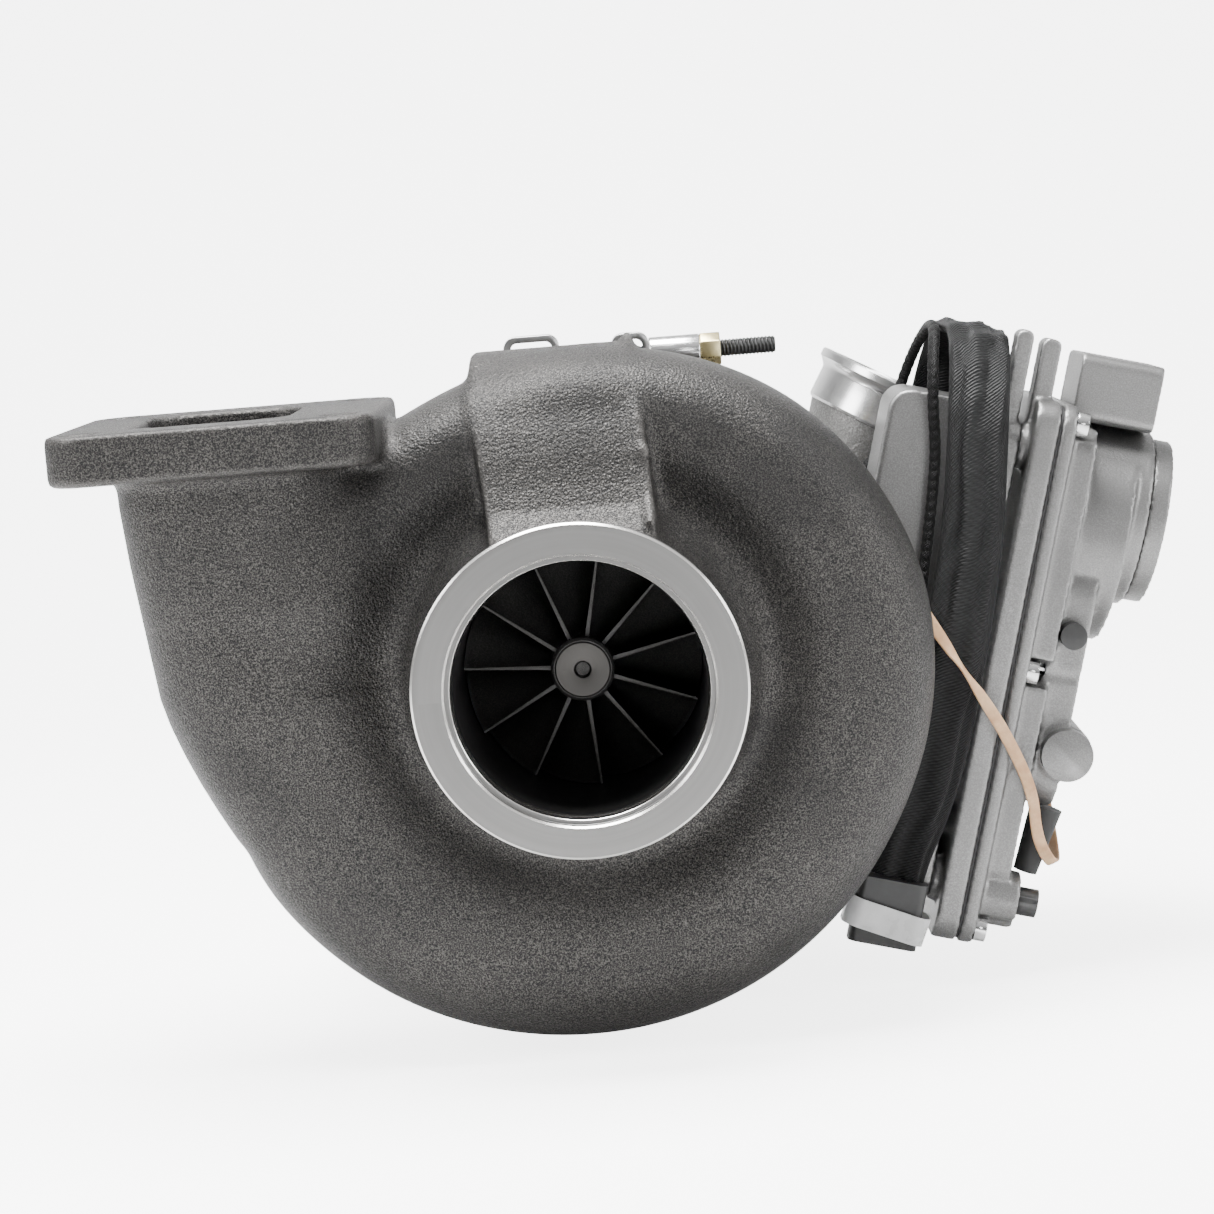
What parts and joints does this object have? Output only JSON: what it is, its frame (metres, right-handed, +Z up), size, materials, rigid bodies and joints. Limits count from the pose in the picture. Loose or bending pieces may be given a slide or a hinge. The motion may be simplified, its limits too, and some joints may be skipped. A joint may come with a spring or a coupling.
{
  "type": "turbocharger",
  "caption": "Variable-nozzle turbocharger with exhaust and compressor casings on one shaft, sliding nozzle ring and a geared electric actuator on the side.",
  "frame": {"origin": "shaft axis at the face of the exhaust outlet ring", "axes": "+Y along the shaft from turbine to compressor, +Z up, the normal of the manifold flange, +X right seen from the exhaust outlet"},
  "size_m": [0.3768, 0.3, 0.2364],
  "materials": {
    "cast_iron": "rough as cast",
    "housing_iron": "rough as cast",
    "hot_alloy": "fine cast nickel alloy",
    "ground_steel": "ground",
    "stamped_steel": "rolled strip",
    "bright_steel": "bright plated",
    "yellow_zinc": "yellow passivated",
    "black_steel": "black oxide",
    "cast_aluminium": "die cast satin",
    "milled_aluminium": "milled",
    "bronze": "turned",
    "copper_steel": "varnished",
    "black_rubber": "matte",
    "tan_rubber": "matte",
    "woven_sleeve": "woven",
    "black_plastic": "moulded",
    "label_film": "satin film",
    "green_board": "coated board"
  },
  "bodies": {
    "housing": {"turbine_housing": "cast_iron", "shroud_plate": "ground_steel", "shroud_retaining_ring": "stamped_steel", "bearing_housing": "housing_iron", "turbine_ring_seal": "ground_steel", "compressor_ring_seal": "ground_steel", "heat_shield": "stamped_steel", "turbine_bearing": "bronze", "compressor_bearing": "bronze", "thrust_bearing": "bronze", "seal_plate": "cast_aluminium", "seal_o_ring": "black_rubber", "compressor_housing": "cast_aluminium", "turbine_v_band": "stamped_steel", "t_bolt": "black_steel", "trunnion_sleeve": "bright_steel", "clamp_nut": "yellow_zinc", "compressor_v_band": "stamped_steel", "compressor_clamp_bolt": "bright_steel", "compressor_clamp_nut": "bright_steel", "cross_bushes": "bronze", "cross_seal": "black_rubber", "motor_can": "stamped_steel", "actuator_bracket": "cast_aluminium", "actuator_base": "cast_aluminium", "actuator_gasket": "black_rubber", "actuator_cover": "cast_aluminium", "motor_end_cap": "cast_aluminium", "circuit_board": "green_board", "connector_box": "cast_aluminium", "cover_screws": "bright_steel", "mounting_screws": "bright_steel", "sensor_lead": "woven_sleeve", "harness_sleeve": "woven_sleeve", "rubber_band": "tan_rubber", "speed_sensor": "bright_steel", "sensor_connector": "black_plastic", "harness_gland": "black_plastic", "harness_connector": "black_plastic", "label_strip": "label_film", "blanking_boot": "black_rubber", "round_plug": "cast_aluminium", "small_cap": "black_plastic", "socket_screw": "black_steel", "bracket_bolt": "bright_steel"},
    "rotor": {"turbine_wheel": "hot_alloy", "rotor_shaft": "ground_steel", "thrust_collar": "ground_steel", "oil_slinger": "ground_steel", "compressor_wheel": "milled_aluminium", "compressor_nut": "bright_steel"},
    "nozzle": {"nozzle_ring": "hot_alloy", "push_rods": "ground_steel"},
    "vane_lever": {"cross_shaft": "ground_steel", "yoke": "ground_steel", "sector_gear": "ground_steel"},
    "idler": {"idler_gear": "ground_steel"},
    "motor_armature": {"motor_rotor": "copper_steel"}
  },
  "joints": [
    {"name": "rotor_spin", "type": "hinge", "parent": "housing", "child": "rotor", "pos_m": [0, 0.13, 0], "axis": [0, 1, 0], "continuous": true},
    {"name": "cross_shaft_turn", "type": "hinge", "parent": "housing", "child": "vane_lever", "pos_m": [-0.01042, 0.15, -0.03862], "axis": [0.9655, 0, -0.2605], "range_deg": [0, 29]},
    {"name": "nozzle_slide", "type": "slide", "parent": "housing", "child": "nozzle", "axis": [0, -1, 0], "range_m": [0, 0.0121]},
    {"name": "idler_turn", "type": "hinge", "parent": "housing", "child": "idler", "pos_m": [0.15218, 0.15, -0.0118], "axis": [0.9655, 0, -0.2605], "range_deg": [-211.91, 0.5]},
    {"name": "motor_spin", "type": "hinge", "parent": "housing", "child": "motor_armature", "pos_m": [0.17434, 0.15, 0.03194], "axis": [0.9655, 0, -0.2605], "range_deg": [-1, 541.99]}
  ],
  "couplings": [
    {"joint": "nozzle_slide", "follows": "cross_shaft_turn", "m_per_rad": 0.023709},
    {"joint": "idler_turn", "follows": "cross_shaft_turn", "ratio": -7.2727},
    {"joint": "motor_spin", "follows": "cross_shaft_turn", "ratio": 18.586}
  ]
}
